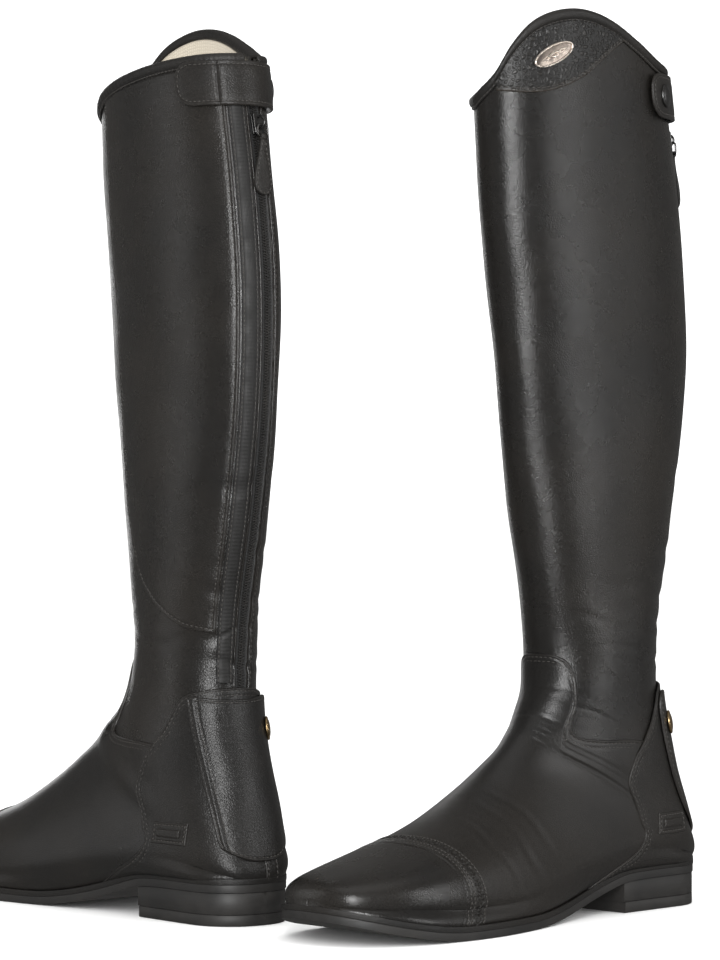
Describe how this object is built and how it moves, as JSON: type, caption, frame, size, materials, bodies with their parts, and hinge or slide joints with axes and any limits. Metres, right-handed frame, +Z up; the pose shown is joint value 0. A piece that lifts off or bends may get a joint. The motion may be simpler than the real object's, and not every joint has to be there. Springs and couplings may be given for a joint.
{
  "type": "pair of tall riding boots",
  "caption": "Pair of tall leather riding boots with a peaked outer top line, rear zip with snap strap and snap guard, capped toes, spur rests and low stacked heels.",
  "frame": {"origin": "on the ground, at the middle of the pair's bounding box", "axes": "+Z up; +X and +Y level; the left boot's toe points between -X and -Y, the right boot's toe between -X and +Y"},
  "size_m": [0.4478, 0.3294, 0.4969],
  "materials": {
    "leather": "black smooth calf leather, semi gloss with fine grain",
    "grain_leather": "black pebble grain leather",
    "rubber": "satin black rubber",
    "lining_textile": "pale cream woven lining",
    "zip_tape": "black woven tape",
    "elastic": "black ribbed elastic",
    "brass": "aged brass",
    "dark_metal": "gunmetal",
    "badge_metal": "polished rose gold plate"
  },
  "bodies": {
    "right_boot": {"right_outsole": "rubber", "right_welt": "leather", "right_heel_block": "rubber", "right_heel_top_lift": "rubber", "right_insole": "lining_textile", "right_vamp": "leather", "right_toe_cap": "leather", "right_heel_counter": "leather", "right_spur_rest_outer": "leather", "right_spur_rest_inner": "leather", "right_shaft": "leather", "right_lining": "lining_textile", "right_top_binding": "leather", "right_crown_patch": "grain_leather", "right_badge": "badge_metal", "right_calf_guard": "leather", "right_elastic_panel": "elastic", "right_zip_tape_outer": "zip_tape", "right_zip_tape_inner": "zip_tape", "right_top_snap_stud": "brass", "right_guard_snap_stud": "brass"},
    "right_zip_slider": {"right_zip_slider": "dark_metal"},
    "right_zip_pull": {"right_zip_ring": "dark_metal", "right_zip_pull_tab": "leather"},
    "right_top_strap": {"right_top_strap": "leather", "right_top_snap_cap": "dark_metal"},
    "right_zip_guard": {"right_zip_guard": "leather", "right_guard_snap_cap": "brass"},
    "left_boot": {"left_outsole": "rubber", "left_welt": "leather", "left_heel_block": "rubber", "left_heel_top_lift": "rubber", "left_insole": "lining_textile", "left_vamp": "leather", "left_toe_cap": "leather", "left_heel_counter": "leather", "left_spur_rest_outer": "leather", "left_spur_rest_inner": "leather", "left_shaft": "leather", "left_lining": "lining_textile", "left_top_binding": "leather", "left_crown_patch": "grain_leather", "left_badge": "badge_metal", "left_calf_guard": "leather", "left_elastic_panel": "elastic", "left_zip_tape_outer": "zip_tape", "left_zip_tape_inner": "zip_tape", "left_top_snap_stud": "brass", "left_guard_snap_stud": "brass"},
    "left_zip_slider": {"left_zip_slider": "dark_metal"},
    "left_zip_pull": {"left_zip_ring": "dark_metal", "left_zip_pull_tab": "leather"},
    "left_top_strap": {"left_top_strap": "leather", "left_top_snap_cap": "dark_metal"},
    "left_zip_guard": {"left_zip_guard": "leather", "left_guard_snap_cap": "brass"}
  },
  "joints": [
    {"name": "left_boot_lift", "type": "slide", "parent": "right_boot", "child": "left_boot", "axis": [0, 0, 1], "range_m": [0, 0.3]},
    {"name": "right_zip_travel", "type": "hinge", "parent": "right_boot", "child": "right_zip_slider", "pos_m": [-0.25204, 0.31208, 0.324], "axis": [0.848, 0.5299, 0], "range_deg": [0, 26.5]},
    {"name": "right_zip_pull_swing", "type": "hinge", "parent": "right_zip_slider", "child": "right_zip_pull", "pos_m": [-0.01785, -0.06025, 0.43249], "axis": [-0.6868, -0.7247, 0.0562], "range_deg": [-1, 110]},
    {"name": "right_top_strap_open", "type": "hinge", "parent": "right_boot", "child": "right_top_strap", "pos_m": [-0.06686, -0.04919, 0.455], "axis": [0, 0, -1], "range_deg": [0, 95]},
    {"name": "right_zip_guard_open", "type": "hinge", "parent": "right_boot", "child": "right_zip_guard", "pos_m": [-0.05642, -0.05835, 0.096], "axis": [0.189, -0.2524, -0.949], "range_deg": [0, 85]},
    {"name": "left_zip_travel", "type": "hinge", "parent": "left_boot", "child": "left_zip_slider", "pos_m": [-0.09916, -0.26348, 0.324], "axis": [-0.7071, 0.7071, 0], "range_deg": [0, 26.5]},
    {"name": "left_zip_pull_swing", "type": "hinge", "parent": "left_zip_slider", "child": "left_zip_pull", "pos_m": [0.21278, 0.04662, 0.43249], "axis": [0.5062, -0.8606, -0.0563], "range_deg": [-1, 110]},
    {"name": "left_top_strap_open", "type": "hinge", "parent": "left_boot", "child": "left_top_strap", "pos_m": [0.16254, 0.04686, 0.455], "axis": [0, 0, 1], "range_deg": [0, 95]},
    {"name": "left_zip_guard_open", "type": "hinge", "parent": "left_boot", "child": "left_zip_guard", "pos_m": [0.17421, 0.05203, 0.096], "axis": [-0.2109, -0.1927, 0.9583], "range_deg": [0, 85]}
  ]
}
